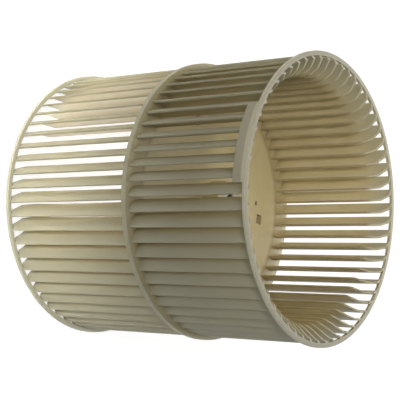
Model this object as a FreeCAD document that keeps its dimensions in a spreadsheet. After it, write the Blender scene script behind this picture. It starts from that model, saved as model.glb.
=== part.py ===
# Double-inlet blower wheel: two moulded halves, a trapped hub bush and its set screw.
# The axis of the wheel is Z. The wheel stands on its left end ring at height 0.
import FreeCAD, Part
import math
import os
import Sketcher

doc = FreeCAD.newDocument("blower_wheel")
sizes = doc.addObject("Spreadsheet::Sheet", "Sizes")

driving_sizes = (
    ("wheel_radius", 127.0),
    ("wheel_length", 260.0),
    ("joint_height", 138.4),
    ("blade_count", 60),
    ("ring_proud", 3.0),
    ("blade_depth", 16.0),
    ("blade_thickness", 1.9),
    ("blade_lean", 33.7),
    ("blade_turn", 83.0),
    ("blade_flats", 3),
    ("blade_setback", 0.3),
    ("left_row_angle", 0.4),
    ("right_row_angle", 5.3),
    ("root_depth", 1.2),
    ("sweep_length", 24.5),
    ("sweep_turn", 1.0),
    ("sweep_reach", 4.5),
    ("end_blade_depth", 1.9),
    ("end_ring_depth", 4.0),
    ("end_ring_width", 2.6),
    ("plate_thickness", 2.2),
    ("boss_wall", 5.0),
    ("boss_height", 20.0),
    ("land_start_angle", -36.5),
    ("land_end_angle", -5.9),
    ("land_width", 12.0),
    ("land_depth", 4.2),
    ("stake_count", 3),
    ("stake_inset", 36.5),
    ("stake_angle", 178.3),
    ("stake_radius", 1.6),
    ("stake_clearance", 0.7),
    ("stake_head", 0.5),
    ("lug_inset", 30.2),
    ("lug_angle", 166.7),
    ("lug_side", 8.4),
    ("lug_clearance", 0.3),
    ("lug_recess", 1.4),
    ("shaft_radius", 6.35),
    ("bush_radius", 14.0),
    ("bush_nose", 14.0),
    ("collar_across_corners", 36.0),
    ("collar_thickness", 4.0),
    ("screw_radius", 3.9),
    ("screw_clearance", 0.1),
    ("screw_length", 9.0),
    ("screw_tip_gap", 0.3),
    ("screw_socket_radius", 2.3),
    ("screw_socket_depth", 4.0),
)
for row, (alias, amount) in enumerate(driving_sizes, start=1):
    sizes.set(f"A{row}", alias)
    sizes.set(f"B{row}", str(amount))
    sizes.setAlias(f"B{row}", alias)
doc.recompute()

# Sizes worked out from the driving ones, as text that the sketches are bound to.
RADIUS = "Sizes.wheel_radius"
LENGTH = "Sizes.wheel_length"
JOINT = "Sizes.joint_height"
THICK = "Sizes.blade_thickness"
CAGE = f"({RADIUS} - Sizes.ring_proud)"
TIP = f"({CAGE} - {THICK} / 2)"
HEEL = f"({TIP} - Sizes.blade_depth)"
LEAN = "Sizes.blade_lean"
HALF_TURN = "(Sizes.blade_turn / 2)"
CHORD = f"(sqrt({TIP}^2 - ({HEEL} * sin({LEAN}))^2) - {HEEL} * cos({LEAN}))"
CURVE = f"({CHORD} / (2 * sin({HALF_TURN})))"
BACK_CURVE = f"({CURVE} + {THICK} / 2)"
FACE_CURVE = f"({CURVE} - {THICK} / 2)"
RING_INNER = f"({RADIUS} - Sizes.end_ring_depth)"
CLEAR = f"({HEEL} - 2 * {THICK})"
BUSH = "Sizes.bush_radius"
BOSS = f"({BUSH} + Sizes.boss_wall)"
SWEEP_START = f"({HEEL} - {THICK} / 2)"
SWEEP_END = f"({TIP} - Sizes.end_blade_depth)"
SWEEP_RISE = f"({SWEEP_END} - {SWEEP_START})"
SWEEP_STEPS = 3


def amount_of(text):
    """The number that a size text comes to."""
    return float(sizes.evalExpression(text))


def plane_sketch(body, role, name):
    """A sketch on one of the body's own origin planes."""
    plane = [item for item in body.Origin.OriginFeatures if item.Role == role][0]
    sketch = body.newObject("Sketcher::SketchObject", name)
    sketch.AttachmentSupport = (plane, "")
    sketch.MapMode = "FlatFace"
    return sketch


def lift(sketch, height):
    """Raise a sketch on the XY plane to a bound height."""
    sketch.setExpression("AttachmentOffset.Base.z", height)


def hold(sketch, kind, shape, corner, text):
    """Bind one coordinate of an outline's corner, measured from the origin."""
    place = Sketcher.Constraint(kind, -1, 1, shape, corner, amount_of(text))
    number = sketch.addConstraint(place)
    sketch.setExpression(f"Constraints[{number}]", text)


def arc_between(start, end, radius):
    """An arc that turns left from start to end, with its centre on the left."""
    chord = end - start
    middle = (start + end) / 2
    inward = FreeCAD.Vector(-chord.y, chord.x, 0).normalize()
    centre = middle + inward * math.sqrt(max(radius**2 - chord.Length**2 / 4, 0))
    first = math.atan2(start.y - centre.y, start.x - centre.x)
    last = math.atan2(end.y - centre.y, end.x - centre.x)
    circle = Part.Circle(centre, FreeCAD.Vector(0, 0, 1), radius)
    return Part.ArcOfCircle(circle, first, last)


def outline(sketch, corners):
    """A closed outline. Each corner is (across, up), or (across, up, radius, turn) where an arc
    leads on to the next corner, turning left or right."""
    spots = [FreeCAD.Vector(amount_of(item[0]), amount_of(item[1]), 0) for item in corners]
    starts = []
    ends = []
    for index, item in enumerate(corners):
        here = spots[index]
        there = spots[(index + 1) % len(spots)]
        if len(item) == 2:
            shape = sketch.addGeometry(Part.LineSegment(here, there))
            starts.append((shape, 1))
            ends.append((shape, 2))
            continue
        radius, turn = item[2:]
        first, last = (here, there) if turn == "left" else (there, here)
        shape = sketch.addGeometry(arc_between(first, last, amount_of(radius)))
        starts.append((shape, 1 if turn == "left" else 2))
        ends.append((shape, 2 if turn == "left" else 1))
        number = sketch.addConstraint(Sketcher.Constraint("Radius", shape, amount_of(radius)))
        sketch.setExpression(f"Constraints[{number}]", radius)
    for index, item in enumerate(corners):
        sketch.addConstraint(Sketcher.Constraint("Coincident", *ends[index - 1], *starts[index]))
        hold(sketch, "DistanceX", *starts[index], item[0])
        if item[1] == "0":
            sketch.addConstraint(Sketcher.Constraint("PointOnObject", *starts[index], -1))
        else:
            hold(sketch, "DistanceY", *starts[index], item[1])


def revolved(body, name, corners):
    """An outline of radius and height, turned once round the wheel's axis."""
    sketch = plane_sketch(body, "XZ_Plane", f"{name}_outline")
    outline(sketch, corners)
    feature = body.newObject("PartDesign::Revolution", name)
    feature.Profile = sketch
    feature.ReferenceAxis = (sketch, ["V_Axis"])
    feature.Angle = 360


def raised(body, name, corners, bottom, height, kind="PartDesign::Pad"):
    """An outline in plan, drawn at a height and carried up from it by a length."""
    sketch = plane_sketch(body, "XY_Plane", f"{name}_outline")
    lift(sketch, bottom)
    outline(sketch, corners)
    feature = body.newObject(kind, name)
    feature.Profile = sketch
    feature.setExpression("Length", height)
    if kind == "PartDesign::Pocket":
        feature.Reversed = True
    return feature


def round_raised(body, name, circle, bottom, height, kind="PartDesign::Pad"):
    """A round stub or hole. The circle is (distance from axis, angle, radius)."""
    sketch = plane_sketch(body, "XY_Plane", f"{name}_outline")
    lift(sketch, bottom)
    distance, angle, radius = circle
    across = f"({distance} * cos({angle}))"
    along = f"({distance} * sin({angle}))"
    centre = FreeCAD.Vector(amount_of(across), amount_of(along), 0)
    normal = FreeCAD.Vector(0, 0, 1)
    shape = sketch.addGeometry(Part.Circle(centre, normal, amount_of(radius)))
    number = sketch.addConstraint(Sketcher.Constraint("Radius", shape, amount_of(radius)))
    sketch.setExpression(f"Constraints[{number}]", radius)
    hold(sketch, "DistanceX", shape, 3, across)
    hold(sketch, "DistanceY", shape, 3, along)
    feature = body.newObject(kind, name)
    feature.Profile = sketch
    feature.setExpression("Length", height)
    if kind == "PartDesign::Pocket":
        feature.Reversed = True
    return feature


def round_the_axis(body, name, features, count):
    """Repeat features evenly round the wheel's axis."""
    axis = [item for item in body.Origin.OriginFeatures if item.Role == "Z_Axis"][0]
    pattern = body.newObject("PartDesign::PolarPattern", name)
    pattern.Originals = features
    pattern.Axis = (axis, [""])
    pattern.Angle = 360
    pattern.setExpression("Occurrences", count)
    body.Tip = pattern


def lug_outline(clearance):
    """A square key with two sides facing the axis, with a clearance all round."""
    corners = []
    for out, along in ((-1, -1), (1, -1), (1, 1), (-1, 1)):
        distance = f"({HEEL} - Sizes.lug_inset + {out} * (Sizes.lug_side / 2 + {clearance}))"
        sideways = f"({along} * (Sizes.lug_side / 2 + {clearance}))"
        angle = "Sizes.lug_angle"
        corners.append((
            f"({distance} * cos({angle}) - {sideways} * sin({angle}))",
            f"({distance} * sin({angle}) + {sideways} * cos({angle}))",
        ))
    return corners


def blade_corner(row_angle, curve, share):
    """A corner of the blade's section, a share of the way from its heel, 0, to its tip, 1."""
    heel_side = f"({row_angle} + {LEAN} - 90 - {HALF_TURN})"
    side = f"({heel_side} + {share} * Sizes.blade_turn)"
    across = f"({HEEL} * cos({row_angle}) - {CURVE} * cos({heel_side}) + {curve} * cos({side}))"
    along = f"({HEEL} * sin({row_angle}) - {CURVE} * sin({heel_side}) + {curve} * sin({side}))"
    return across, along


def blade_row(body, name, row_angle, bottom, height, sweep):
    """One row of forward-curved blades, leaning towards increasing angle. The curve is drawn as
    a few flats, because the rows hold many blades. Each blade's inner edge sweeps outwards near
    its inlet, where it is cut away across its width."""
    flats = round(amount_of("Sizes.blade_flats"))
    shares = [f"({step} / Sizes.blade_flats)" for step in range(flats + 1)]
    back = [blade_corner(row_angle, BACK_CURVE, share) for share in shares]
    face = [blade_corner(row_angle, FACE_CURVE, share) for share in reversed(shares)]
    blade = raised(body, f"{name}_blade", back + face, bottom, height)
    sketch = plane_sketch(body, "XZ_Plane", f"{name}_sweep_outline")
    facing = f"{row_angle} + Sizes.sweep_turn"
    upright = FreeCAD.Rotation(FreeCAD.Vector(0, 1, 0), amount_of(facing))
    sketch.AttachmentOffset = FreeCAD.Placement(FreeCAD.Vector(), upright)
    sketch.setExpression("AttachmentOffset.Rotation.Angle", facing)
    outline(sketch, sweep)
    cut = body.newObject("PartDesign::Pocket", f"{name}_sweep")
    cut.Profile = sketch
    cut.Midplane = True
    cut.setExpression("Length", "2 * Sizes.sweep_reach")
    round_the_axis(body, f"{name}_blades", [blade, cut], "Sizes.blade_count")


def heel_sweep(height_at):
    """What is cut from a blade near an inlet, so that its inner edge runs from full depth out
    to the end ring."""
    corners = []
    for step in range(SWEEP_STEPS):
        share = f"({step} / {SWEEP_STEPS})"
        depth = f"(Sizes.sweep_length * (1 - {share}))"
        corners.append((f"({SWEEP_START} + {SWEEP_RISE} * {share}^2)", height_at(depth)))
    corners += [(SWEEP_END, height_at("0")), (CLEAR, height_at("0"))]
    corners.append((CLEAR, height_at("Sizes.sweep_length")))
    return corners


def new_half(name):
    """An empty moulding. Its plate and end ring are apart until the blades join them."""
    body = doc.addObject("PartDesign::Body", name)
    body.Label = name
    body.AllowCompound = True
    return body


def collar_pocket(body, name, bottom):
    """The hexagonal seat that holds half of the bush's collar."""
    corners = []
    for corner in range(6):
        across = f"(Sizes.collar_across_corners / 2 * cos({60 * corner + 30}))"
        along = f"(Sizes.collar_across_corners / 2 * sin({60 * corner + 30}))"
        corners.append((across, along))
    depth = "(Sizes.collar_thickness / 2)"
    return raised(body, name, corners, bottom, depth, "PartDesign::Pocket")


# Left half: end ring on the ground, plate and boss up to the joint, blades between them.
left = new_half("left_half")
left_core = [
    (BUSH, JOINT),
    (BUSH, f"{JOINT} - Sizes.boss_height"),
    (BOSS, f"{JOINT} - Sizes.boss_height"),
    (BOSS, f"{JOINT} - Sizes.plate_thickness"),
    (RADIUS, f"{JOINT} - Sizes.plate_thickness"),
    (RADIUS, JOINT),
]
revolved(left, "left_core", left_core)
collar_pocket(left, "left_collar_seat", f"{JOINT} - Sizes.collar_thickness / 2")
stake = (f"({HEEL} - Sizes.stake_inset)", "Sizes.stake_angle", "Sizes.stake_radius")
stake_foot = f"{JOINT} - Sizes.plate_thickness / 2"
stake_rise = "1.5 * Sizes.plate_thickness + Sizes.stake_head"
stakes = round_raised(left, "stake", stake, stake_foot, stake_rise)
round_the_axis(left, "stakes", [stakes], "Sizes.stake_count")
lug_rise = "1.5 * Sizes.plate_thickness - Sizes.lug_recess"
lugs = raised(left, "lug", lug_outline("0"), stake_foot, lug_rise)
round_the_axis(left, "lugs", [lugs], "Sizes.stake_count")
left_ring = [
    (RING_INNER, "0"),
    (RADIUS, "0"),
    (RADIUS, "Sizes.end_ring_width"),
    (RING_INNER, "Sizes.end_ring_width"),
]
revolved(left, "left_ring", left_ring)
left_reach = f"{JOINT} - Sizes.root_depth - Sizes.blade_setback"
left_sweep = heel_sweep(lambda depth: depth)
blade_row(left, "left", "Sizes.left_row_angle", "Sizes.blade_setback", left_reach, left_sweep)

# Right half: plate and boss up from the joint, end ring with its land, blades between them.
right = new_half("right_half")
right_core = [
    (BUSH, JOINT),
    (RADIUS, JOINT),
    (RADIUS, f"{JOINT} + Sizes.plate_thickness"),
    (BOSS, f"{JOINT} + Sizes.plate_thickness"),
    (BOSS, f"{JOINT} + Sizes.boss_height"),
    (BUSH, f"{JOINT} + Sizes.boss_height"),
]
revolved(right, "right_core", right_core)
collar_pocket(right, "right_collar_seat", JOINT)
through = ("Sizes.plate_thickness", "PartDesign::Pocket")
stake_hole = (stake[0], stake[1], "Sizes.stake_radius + Sizes.stake_clearance")
holes = round_raised(right, "stake_hole", stake_hole, JOINT, *through)
round_the_axis(right, "stake_holes", [holes], "Sizes.stake_count")
windows = raised(right, "lug_hole", lug_outline("Sizes.lug_clearance"), JOINT, *through)
round_the_axis(right, "lug_holes", [windows], "Sizes.stake_count")
right_ring = [
    (RING_INNER, f"{LENGTH} - Sizes.end_ring_width"),
    (RADIUS, f"{LENGTH} - Sizes.end_ring_width"),
    (RADIUS, LENGTH),
    (RING_INNER, LENGTH),
]
revolved(right, "right_ring", right_ring)
LAND_INNER = f"({RADIUS} - Sizes.land_depth)"
START = "Sizes.land_start_angle"
END = "Sizes.land_end_angle"
land = [
    (f"{LAND_INNER} * cos({START})", f"{LAND_INNER} * sin({START})"),
    (f"{RADIUS} * cos({START})", f"{RADIUS} * sin({START})", RADIUS, "left"),
    (f"{RADIUS} * cos({END})", f"{RADIUS} * sin({END})"),
    (f"{LAND_INNER} * cos({END})", f"{LAND_INNER} * sin({END})", LAND_INNER, "right"),
]
land_reach = "Sizes.land_width - Sizes.end_ring_width / 2"
raised(right, "land", land, f"{LENGTH} - Sizes.land_width", land_reach)
right_foot = f"{JOINT} + Sizes.root_depth"
right_reach = f"{LENGTH} - {JOINT} - Sizes.root_depth - Sizes.blade_setback"
right_sweep = heel_sweep(lambda depth: f"({LENGTH} - {depth})")
blade_row(right, "right", "Sizes.right_row_angle", right_foot, right_reach, right_sweep)


def cylinder(name, radius, height, bottom):
    """A round bar on the wheel's axis."""
    bar = doc.addObject("Part::Cylinder", name)
    bar.setExpression("Radius", radius)
    bar.setExpression("Height", height)
    bar.setExpression("Placement.Base.z", bottom)
    return bar


# Hub bush: barrel, hexagonal collar on the joint, shaft bore and screw hole.
BUSH_FOOT = f"({JOINT} - Sizes.boss_height - Sizes.bush_nose)"
BUSH_LENGTH = "(2 * Sizes.boss_height + Sizes.bush_nose)"
SCREW_HEIGHT = f"({BUSH_FOOT} + Sizes.bush_nose / 2)"
barrel = cylinder("bush_barrel", BUSH, BUSH_LENGTH, BUSH_FOOT)
collar = doc.addObject("Part::Prism", "bush_collar")
collar.Polygon = 6
collar.setExpression("Circumradius", "Sizes.collar_across_corners / 2")
collar.setExpression("Height", "Sizes.collar_thickness")
collar.setExpression("Placement.Base.z", f"{JOINT} - Sizes.collar_thickness / 2")
collar.Placement.Rotation = FreeCAD.Rotation(FreeCAD.Vector(0, 0, 1), 30)
bush_blank = doc.addObject("Part::Fuse", "bush_blank")
bush_blank.Base = barrel
bush_blank.Tool = collar
bore = cylinder("shaft_bore", "Sizes.shaft_radius", BUSH_LENGTH, BUSH_FOOT)
bored_bush = doc.addObject("Part::Cut", "bored_bush")
bored_bush.Base = bush_blank
bored_bush.Tool = bore
ACROSS = FreeCAD.Rotation(FreeCAD.Vector(0, 1, 0), 90)
screw_hole = cylinder("screw_hole", "Sizes.screw_radius + Sizes.screw_clearance", BUSH, SCREW_HEIGHT)
screw_hole.Placement.Rotation = ACROSS
hub_bush = doc.addObject("Part::Cut", "hub_bush_solid")
hub_bush.Base = bored_bush
hub_bush.Tool = screw_hole
hub_bush.Label = "hub_bush"

# Set screw: drawn back clear of the shaft, with a hexagonal socket in its outer end.
SCREW_FOOT = "(Sizes.shaft_radius + Sizes.screw_tip_gap)"
shank = cylinder("screw_shank", "Sizes.screw_radius", "Sizes.screw_length", SCREW_HEIGHT)
shank.Placement.Rotation = ACROSS
shank.setExpression("Placement.Base.x", SCREW_FOOT)
socket = doc.addObject("Part::Prism", "screw_socket")
socket.Polygon = 6
socket.setExpression("Circumradius", "Sizes.screw_socket_radius")
socket.setExpression("Height", "Sizes.screw_socket_depth")
socket.Placement.Rotation = ACROSS
socket_foot = f"{SCREW_FOOT} + Sizes.screw_length - Sizes.screw_socket_depth"
socket.setExpression("Placement.Base.x", socket_foot)
socket.setExpression("Placement.Base.z", SCREW_HEIGHT)
set_screw = doc.addObject("Part::Cut", "set_screw_solid")
set_screw.Base = shank
set_screw.Tool = socket
set_screw.Label = "set_screw"

doc.recompute()
for item in doc.Objects:
    if "Invalid" in item.State or "Error" in item.State:
        raise RuntimeError(f"{item.Label} did not build: {item.State}")

nodes = (left, right, hub_bush, set_screw)
for node in nodes:
    if node.Shape.isNull() or not node.Shape.isValid():
        raise RuntimeError(f"{node.Label} has no valid shape")
os.makedirs("parts", exist_ok=True)
for node in nodes:
    node.Shape.exportStep(f"parts/{node.Label}.step")
    print(node.Label, len(node.Shape.Solids), "solid", round(node.Shape.Volume), "cubic mm")
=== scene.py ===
import bpy
import math
from mathutils import Matrix, Vector

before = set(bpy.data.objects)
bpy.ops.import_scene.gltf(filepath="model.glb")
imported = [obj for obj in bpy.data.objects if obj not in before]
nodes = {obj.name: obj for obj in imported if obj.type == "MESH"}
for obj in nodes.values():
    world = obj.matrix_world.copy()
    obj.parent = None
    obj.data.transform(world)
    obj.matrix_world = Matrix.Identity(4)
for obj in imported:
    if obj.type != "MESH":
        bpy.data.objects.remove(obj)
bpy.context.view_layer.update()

# Lengths are in metres. The wheel stands on its left inlet and its axis is Z. These heights are
# those of the solids.
LEFT_INLET = 0.0
JOINT = 0.1384
RIGHT_INLET = 0.26

# The camera, fitted to the wheel's outline in the photo.
CAMERA_PLACE = (0.82636, 0.00970, 0.73014)
CAMERA_RIGHT = (-0.591190, 0.015171, 0.806389)
CAMERA_UP = (0.0, -0.999823, 0.018810)
CAMERA_BACK = (0.806532, 0.011120, 0.591086)
SENSOR_MILLIMETRES = 36.0
FOCAL_MILLIMETRES = 99.043
NEAREST_SEEN = 0.02
FARTHEST_SEEN = 60.0

lens = bpy.data.cameras.new("camera")
lens.sensor_width = SENSOR_MILLIMETRES
lens.lens = FOCAL_MILLIMETRES
lens.clip_start = NEAREST_SEEN
lens.clip_end = FARTHEST_SEEN
camera = bpy.data.objects.new("camera", lens)
bpy.context.scene.collection.objects.link(camera)
turn = Matrix((CAMERA_RIGHT, CAMERA_UP, CAMERA_BACK)).transposed()
camera.matrix_world = Matrix.Translation(Vector(CAMERA_PLACE)) @ turn.to_4x4()
bpy.context.scene.camera = camera
bpy.context.scene.view_settings.view_transform = "Standard"


def linear(value):
    """One channel of a written colour, out of 255, in linear light as the sRGB standard has it."""
    value /= 255.0
    if value <= 0.04045:
        return value / 12.92
    return ((value + 0.055) / 1.055) ** 2.4


def tint(red, green, blue):
    """A written colour as the shaders take it."""
    return (linear(red), linear(green), linear(blue), 1.0)


def grey(level):
    """A neutral colour of one level that is already linear."""
    return (level, level, level, 1.0)


# What noise, shares and the other values between nodes run over.
WHOLE_RANGE = (0.0, 1.0)


def new_material(name):
    """An empty node material and its tree."""
    material = bpy.data.materials.new(name)
    material.use_nodes = True
    tree = material.node_tree
    tree.nodes.clear()
    return material, tree


def add(tree, kind, inputs, operation=None):
    """A new node, with its inputs linked to other nodes' outputs or set to plain values."""
    node = tree.nodes.new(kind)
    if operation:
        node.operation = operation
    for name, source in inputs.items():
        if isinstance(source, bpy.types.NodeSocket):
            tree.links.new(source, node.inputs[name])
        else:
            node.inputs[name].default_value = source
    return node


def calc(tree, operation, first, *others, clamp=False):
    """One operation carried along a row whose members are outputs or plain numbers."""
    result = first
    for other in others:
        node = add(tree, "ShaderNodeMath", {0: result, 1: other}, operation)
        node.use_clamp = clamp
        result = node.outputs["Value"]
    return result


def graded(tree, source, span, levels=WHOLE_RANGE, smooth=False):
    """A value that goes from one level to the other while the source crosses the span."""
    node = add(tree, "ShaderNodeMapRange", {
        "Value": source,
        "From Min": span[0],
        "From Max": span[1],
        "To Min": levels[0],
        "To Max": levels[1],
    })
    if smooth:
        node.interpolation_type = "SMOOTHSTEP"
    return node.outputs["Result"]


def away_from(tree, height, level):
    """How far a height is from a level, above it or below it."""
    gap = calc(tree, "SUBTRACT", height, level)
    return add(tree, "ShaderNodeMath", {0: gap}, "ABSOLUTE").outputs["Value"]


def noise(tree, spot, scale, detail, roughness=0.5):
    """Soft random mottling, from 0 to 1."""
    inputs = {"Vector": spot, "Scale": scale, "Detail": detail, "Roughness": roughness}
    return add(tree, "ShaderNodeTexNoise", inputs).outputs["Fac"]


def two_tones(tree, source, low, high):
    """A blend of two colours, each given with the level of the source at which it is pure."""
    node = add(tree, "ShaderNodeValToRGB", {"Fac": source})
    for element, (level, colour) in zip(node.color_ramp.elements, (low, high)):
        element.position = level
        element.color = colour
    return node.outputs["Color"]


def cover(tree, share, under, over):
    """The colour under, covered with the colour over by a share from 0 to 1."""
    inputs = {"Fac": share, "Color1": under, "Color2": over}
    return add(tree, "ShaderNodeMixRGB", inputs).outputs["Color"]


def show(tree, surface, kind="ShaderNodeOutputMaterial"):
    """Make a shader the one that its tree gives out."""
    add(tree, kind, {"Surface": surface})


# The plastic's two creams, with the levels of the mottling at which each is pure, and the colours
# that cover them: grey film that is partly painted shade, a painted ring highlight, and painted
# shade.
DARK_CREAM = (0.34, tint(188, 175, 134))
LIGHT_CREAM = (0.68, tint(199, 187, 148))
# A grey film that is partly painted shade: it greys the blades' outer faces and the plastic near
# each inlet, the right half's the most.
FILM_AND_PAINTED_SHADE = tint(175, 170, 147)
# A painted highlight, lighter than the clean plastic, on the inlet ring's outer edge.
PAINTED_EDGE_LIGHT = tint(216, 211, 188)
# Painted shade on the inlet ring's end face, on the right half only.
PAINTED_END_SHADE = tint(112, 110, 98)
# Painted shade at the blades' roots, on their inner edges and in narrow corners; the same brown
# also darkens the stakes and keys.
PAINTED_SHADE_BROWN = tint(140, 122, 84)

# Radii between which each cover comes or goes. The blades reach from 0.106 to 0.124.
FILM_AND_SHADE_STARTS = (0.109, 0.121)
EDGE_LIGHT_STARTS = (0.1228, 0.1240)
ROOT_SHADE_STARTS = (0.101, 0.105)
ROOT_SHADE_ENDS = (0.118, 0.124)
EDGE_SHADE_STARTS = 0.1055
EDGE_SHADE_ENDS = (0.107, 0.1095)

# Distances along the axis, from the inlet or from the joint, over which each cover fades.
FILM_AND_SHADE_FROM_INLET = (0.004, 0.034)
RING_FROM_INLET = (0.0036, 0.0048)
SHADE_FROM_JOINT = (0.001, 0.012)

# How squarely a face looks away from the axis, from -1 to 1, where it starts to count as an
# outside and where it counts in full.
OUTSIDE_FACES = (-0.15, 0.25)

# The greatest share of each cover, out of 1.
INLET_FILM_AND_SHADE = 0.9
ROOT_SHADE = 0.45
EDGE_SHADE = 0.6
NARROW_CORNER_SHADE = 0.6

# A corner gets painted shade where less than this part of the room within its reach is open.
CORNER_REACH = 0.004
CORNER_OPENNESS = (0.0, 0.45)

EDGE_ROUNDING = 0.0008
PEEL_DEPTH = 0.0002
PEEL_STRENGTH = 0.12
PLASTIC_ROUGHNESS = (0.42, 0.54)
SHADING_SAMPLES = 6

# Light scattered inside the plastic: its share, how far it goes, and how far each colour goes of
# that.
SCATTERED = 0.35
SCATTER_REACH = 0.003
SCATTER_COLOURS = (1.0, 0.95, 0.7)


def wheel_measures(tree, place):
    """A spot's distance from the axis, its height, and how squarely it looks away from the axis."""
    spot = place.outputs["Object"]
    level = add(tree, "ShaderNodeVectorMath", {0: spot, 1: (1.0, 1.0, 0.0)}, "MULTIPLY")
    from_axis = level.outputs["Vector"]
    length = add(tree, "ShaderNodeVectorMath", {0: from_axis}, "LENGTH")
    heading = add(tree, "ShaderNodeVectorMath", {0: from_axis}, "NORMALIZE")
    both = {0: heading.outputs["Vector"], 1: place.outputs["Normal"]}
    facing = add(tree, "ShaderNodeVectorMath", both, "DOT_PRODUCT")
    parts = add(tree, "ShaderNodeSeparateXYZ", {"Vector": spot})
    return length.outputs["Value"], parts.outputs["Z"], facing.outputs["Value"]


def film_and_shade_share(tree, radius, outside, from_inlet, film_and_shade):
    """Grey film and painted shade: up to the given amount on the blades' outer faces, and all over
    near the inlet.
    """
    outer = graded(tree, radius, FILM_AND_SHADE_STARTS, (0.0, film_and_shade))
    coat = calc(tree, "MULTIPLY", outer, outside)
    mouth = graded(tree, from_inlet, FILM_AND_SHADE_FROM_INLET, (INLET_FILM_AND_SHADE, 0.0), smooth=True)
    return calc(tree, "MAXIMUM", coat, mouth)


def ring_shares(tree, radius, outside, from_inlet, edge_light, end_shade):
    """How far the inlet ring's outer edge gets a painted highlight, and how far its end face gets
    painted shade.
    """
    round_edge = graded(tree, radius, EDGE_LIGHT_STARTS, (0.0, edge_light), smooth=True)
    end_band = graded(tree, from_inlet, RING_FROM_INLET, (1.0, 0.0), smooth=True)
    ring_face = calc(tree, "MULTIPLY", round_edge, end_band)
    lit_part = graded(tree, outside, WHOLE_RANGE, (1.0 - end_shade, 1.0))
    lit_edge = calc(tree, "MULTIPLY", ring_face, lit_part)
    end_face = calc(tree, "SUBTRACT", ring_face, lit_edge, clamp=True)
    return lit_edge, end_face


def painted_shade_share(tree, radius, height, darkened_above):
    """Painted shade at the blades' roots next to the centre plate, on the blades' inner edges and
    in narrow corners, and the same darkening on all that is higher than the given height."""
    from_joint = away_from(tree, height, JOINT)
    low = graded(tree, from_joint, SHADE_FROM_JOINT, (ROOT_SHADE, 0.0), smooth=True)
    among = graded(tree, radius, ROOT_SHADE_STARTS, smooth=True)
    within_rim = graded(tree, radius, ROOT_SHADE_ENDS, (1.0, 0.0), smooth=True)
    roots = calc(tree, "MULTIPLY", low, among, within_rim)
    openness = add(tree, "ShaderNodeAmbientOcclusion", {"Distance": CORNER_REACH})
    openness.samples = SHADING_SAMPLES
    openness.only_local = True
    corners = graded(tree, openness.outputs["AO"], CORNER_OPENNESS, (NARROW_CORNER_SHADE, 0.0))
    inner = graded(tree, radius, EDGE_SHADE_ENDS, (EDGE_SHADE, 0.0), smooth=True)
    edges = calc(tree, "MULTIPLY", inner, calc(tree, "GREATER_THAN", radius, EDGE_SHADE_STARTS))
    high = calc(tree, "GREATER_THAN", height, darkened_above)
    return calc(tree, "MAXIMUM", roots, corners, edges, high)


def peeled_normal(tree, spot):
    """Softened edges, with fine orange peel over every face."""
    edge = add(tree, "ShaderNodeBevel", {"Radius": EDGE_ROUNDING})
    edge.samples = SHADING_SAMPLES
    return add(tree, "ShaderNodeBump", {
        "Strength": PEEL_STRENGTH,
        "Distance": PEEL_DEPTH,
        "Height": noise(tree, spot, scale=900.0, detail=3.0),
        "Normal": edge.outputs["Normal"],
    }).outputs["Normal"]


def moulded_plastic(name, film_and_shade, inlet, edge_light, end_shade, darkened_above):
    """Ivory moulded plastic with faint mottling and a little light scattered inside it, under its
    grey film that is partly painted shade, its ring's painted highlight and painted shade, and the
    painted shade in its corners, and its darkened stakes."""
    material, tree = new_material(name)
    place = tree.nodes.new("ShaderNodeTexCoord")
    spot = place.outputs["Object"]
    radius, height, facing = wheel_measures(tree, place)
    outside = graded(tree, facing, OUTSIDE_FACES)
    from_inlet = away_from(tree, height, inlet)
    mottle = noise(tree, spot, scale=26.0, detail=5.0, roughness=0.55)
    filmed_and_shaded = film_and_shade_share(tree, radius, outside, from_inlet, film_and_shade)
    lit_edge, end_face = ring_shares(tree, radius, outside, from_inlet, edge_light, end_shade)
    painted_shade = painted_shade_share(tree, radius, height, darkened_above)
    colour = two_tones(tree, mottle, DARK_CREAM, LIGHT_CREAM)
    colour = cover(tree, filmed_and_shaded, colour, FILM_AND_PAINTED_SHADE)
    colour = cover(tree, lit_edge, colour, PAINTED_EDGE_LIGHT)
    colour = cover(tree, end_face, colour, PAINTED_END_SHADE)
    colour = cover(tree, painted_shade, colour, PAINTED_SHADE_BROWN)
    shader = add(tree, "ShaderNodeBsdfPrincipled", {
        "Base Color": colour,
        "Roughness": graded(tree, mottle, WHOLE_RANGE, PLASTIC_ROUGHNESS),
        "Normal": peeled_normal(tree, spot),
        "IOR": 1.5,
        "Subsurface Weight": SCATTERED,
        "Subsurface Radius": SCATTER_COLOURS,
        "Subsurface Scale": SCATTER_REACH,
    })
    show(tree, shader.outputs["BSDF"])
    return material


# Metal: the noise is squeezed into fine lines round the bar, the stains have a level at which each
# of their two colours is pure, and the lines vary the roughness by so much.
LINE_SQUEEZE = (40.0, 40.0, 2600.0)
LINE_STRENGTH = 0.2
LINE_DEPTH = 0.00005
STAIN_LEVELS = (0.35, 0.65)
ROUGHNESS_CHANGES = (-0.08, 0.12)


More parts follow.
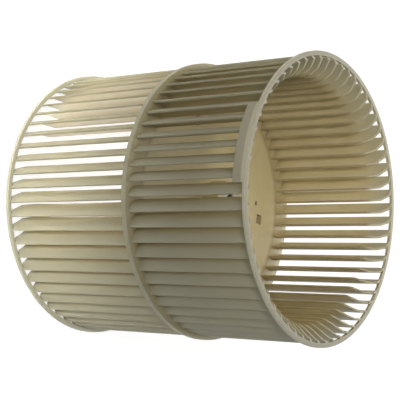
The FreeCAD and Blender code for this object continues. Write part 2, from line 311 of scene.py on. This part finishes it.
def worn_metal(name, low, high, rough):
    """Turned or blackened metal: fine lines round the bar, and small stains of two colours."""
    material, tree = new_material(name)
    spot = tree.nodes.new("ShaderNodeTexCoord").outputs["Object"]
    squeezed = add(tree, "ShaderNodeMapping", {"Vector": spot, "Scale": LINE_SQUEEZE})
    lines = noise(tree, squeezed.outputs["Vector"], scale=1.0, detail=4.0)
    stains = noise(tree, spot, scale=160.0, detail=5.0)
    bump = add(tree, "ShaderNodeBump", {
        "Strength": LINE_STRENGTH,
        "Distance": LINE_DEPTH,
        "Height": lines,
    })
    roughness = (rough + ROUGHNESS_CHANGES[0], rough + ROUGHNESS_CHANGES[1])
    shader = add(tree, "ShaderNodeBsdfPrincipled", {
        "Base Color": two_tones(tree, stains, (STAIN_LEVELS[0], low), (STAIN_LEVELS[1], high)),
        "Metallic": 1.0,
        "Roughness": graded(tree, lines, WHOLE_RANGE, roughness),
        "Normal": bump.outputs["Normal"],
    })
    show(tree, shader.outputs["BSDF"])
    return material


def tell_apart(tree, seen, other):
    """The shader seen for what the camera sees straight, in a mirror or through glass, and the
    other shader for all other light."""
    paths = tree.nodes.new("ShaderNodeLightPath").outputs
    straight = paths["Is Camera Ray"]
    mirrored = paths["Is Glossy Ray"]
    through = paths["Is Transmission Ray"]
    directly = calc(tree, "MAXIMUM", straight, mirrored, through)
    inputs = {"Fac": directly, 1: other, 2: seen}
    return add(tree, "ShaderNodeMixShader", inputs).outputs["Shader"]


# The floor's glow, the share of other light that it adds to its glow, and its plain colour.
FLOOR_GLOW = 0.875
FLOOR_FAINT = grey(0.24)
FLOOR_MATTE = (0.8, 0.8, 0.78, 1.0)


def floor_material():
    """Pale and matte. Seen directly it glows near white and keeps the wheel's faint shadow."""
    material, tree = new_material("floor")
    glow = add(tree, "ShaderNodeEmission", {"Strength": FLOOR_GLOW})
    faint = add(tree, "ShaderNodeBsdfDiffuse", {"Color": FLOOR_FAINT})
    both = {0: faint.outputs["BSDF"], 1: glow.outputs["Emission"]}
    lifted = add(tree, "ShaderNodeAddShader", both)
    matte = add(tree, "ShaderNodeBsdfDiffuse", {"Color": FLOOR_MATTE})
    show(tree, tell_apart(tree, lifted.outputs["Shader"], matte.outputs["BSDF"]))
    return material


# The soft light round the wheel: its strength, and how it turns from cool to warm along Y.
SOFT_LIGHT = 0.29
COOL_SKY = (0.90, 0.96, 1.0, 1.0)
WARM_SKY = (1.0, 0.91, 0.74, 1.0)
SKY_WARMS = (0.1, -0.8)
WHITE = grey(1.0)


def light_world():
    """White where it is seen directly. To all other light it is plain and soft, and a little
    warmer from one side."""
    world = bpy.data.worlds.new("world")
    bpy.context.scene.world = world
    world.use_nodes = True
    tree = world.node_tree
    tree.nodes.clear()
    around = tree.nodes.new("ShaderNodeTexCoord").outputs["Generated"]
    sideways = add(tree, "ShaderNodeSeparateXYZ", {"Vector": around}).outputs["Y"]
    warm = graded(tree, sideways, SKY_WARMS, smooth=True)
    sky = cover(tree, warm, COOL_SKY, WARM_SKY)
    soft = add(tree, "ShaderNodeBackground", {"Color": sky, "Strength": SOFT_LIGHT})
    white = add(tree, "ShaderNodeBackground", {"Color": WHITE})
    surface = tell_apart(tree, white.outputs["Background"], soft.outputs["Background"])
    show(tree, surface, "ShaderNodeOutputWorld")


# Corners closer than this are joined. Edges that bend less than this angle are shaded smooth.
SAME_CORNER = 0.00001
SHARP_EDGE = math.radians(34.0)


def wear(name, material):
    """Give one of the solids its material, smooth over shallow edges and sharp over the others."""
    mesh = nodes[name].data
    mesh.materials.clear()
    mesh.materials.append(material)
    for polygon in mesh.polygons:
        polygon.use_smooth = True
        polygon.material_index = 0
    join = nodes[name].modifiers.new("join_corners", "WELD")
    join.merge_threshold = SAME_CORNER
    sharp = nodes[name].modifiers.new("sharp_corners", "EDGE_SPLIT")
    sharp.split_angle = SHARP_EDGE


# Of the left half, only the stakes and keys stand over the joint, and they are darkened with the
# same brown. Nothing in the wheel is as high as the second height.
JUST_OVER_JOINT = JOINT + 0.0003
ABOVE_ALL = 1.0

# The right half's copy carries more grey film and painted shade than the left's, and painted shade
# on its ring's end face.
left_plastic = moulded_plastic(
    "left_plastic", film_and_shade=0.75, inlet=LEFT_INLET, edge_light=0.6,
    end_shade=0.0, darkened_above=JUST_OVER_JOINT,
)
right_plastic = moulded_plastic(
    "right_plastic", film_and_shade=1.0, inlet=RIGHT_INLET, edge_light=0.7,
    end_shade=1.0, darkened_above=ABOVE_ALL,
)
bush_metal = worn_metal("bush_metal", tint(150, 150, 148), tint(190, 189, 184), rough=0.34)
screw_steel = worn_metal("screw_steel", tint(40, 40, 42), tint(64, 63, 62), rough=0.42)
wear("left_half", left_plastic)
wear("right_half", right_plastic)
wear("hub_bush", bush_metal)
wear("set_screw", screw_steel)

FLOOR_REACH = 9.0
FLOOR_HEIGHT = -0.0005
floor_corners = [
    (-FLOOR_REACH, -FLOOR_REACH, 0.0),
    (FLOOR_REACH, -FLOOR_REACH, 0.0),
    (FLOOR_REACH, FLOOR_REACH, 0.0),
    (-FLOOR_REACH, FLOOR_REACH, 0.0),
]
floor_mesh = bpy.data.meshes.new("floor")
floor_mesh.from_pydata(floor_corners, [], [(0, 1, 2, 3)])
floor_mesh.materials.append(floor_material())
floor = bpy.data.objects.new("floor", floor_mesh)
floor.location.z = FLOOR_HEIGHT
bpy.context.scene.collection.objects.link(floor)

light_world()

COOL_LAMP = (0.98, 1.0, 1.0)
WARM_LAMP = (1.0, 0.94, 0.82)
PALE_LAMP = (1.0, 0.98, 0.94)
CREAM_LAMP = (1.0, 0.98, 0.92)
EVERY_WAY = 180.0


def lamp(name, place, aim, size, power, colour, spread):
    """A soft box that points at a spot, unseen by the camera. Its size is width and height, its
    power is in watts and its spread in degrees."""
    data = bpy.data.lights.new(name, "AREA")
    data.shape = "RECTANGLE"
    data.size = size[0]
    data.size_y = size[1]
    data.energy = power
    data.color = colour
    data.spread = math.radians(spread)
    box = bpy.data.objects.new(name, data)
    bpy.context.scene.collection.objects.link(box)
    box.location = place
    heading = Vector(aim) - Vector(place)
    box.rotation_euler = heading.to_track_quat("-Z", "Y").to_euler()
    box.visible_camera = False


# The first two light the side of the left half, the next two the inside through the right mouth,
# the next two the far side, and the last one the inside from the floor within the left mouth.
lamp(
    "low_key", place=(0.85, -0.25, 0.42), aim=(0.08, 0.0, -0.02),
    size=(0.9, 0.12), power=0.46, colour=COOL_LAMP, spread=20.0,
)
lamp(
    "low_top", place=(0.3, -1.0, 0.0), aim=(0.0, 0.0, 0.0),
    size=(0.9, 0.12), power=0.36, colour=COOL_LAMP, spread=20.0,
)
lamp(
    "mouth_fill", place=(0.62, -0.1, 0.95), aim=(-0.1, 0.0, 0.22),
    size=(0.2, 0.2), power=0.15, colour=WARM_LAMP, spread=24.0,
)
lamp(
    "mouth_back", place=(-0.4, -0.1, 1.0), aim=(0.05, 0.0, 0.15),
    size=(0.3, 0.3), power=0.04, colour=WARM_LAMP, spread=30.0,
)
lamp(
    "back_panel", place=(-1.2, 0.0, 0.5), aim=(0.0, 0.0, 0.15),
    size=(1.0, 1.0), power=7.0, colour=PALE_LAMP, spread=EVERY_WAY,
)
lamp(
    "back_high", place=(-0.7, -1.1, 0.4), aim=(-0.05, 0.0, 0.2),
    size=(0.6, 0.6), power=5.0, colour=PALE_LAMP, spread=EVERY_WAY,
)
lamp(
    "under_glow", place=(0.0, 0.0, 0.0005), aim=(0.0, 0.0, 0.1),
    size=(0.16, 0.16), power=0.32, colour=CREAM_LAMP, spread=EVERY_WAY,
)
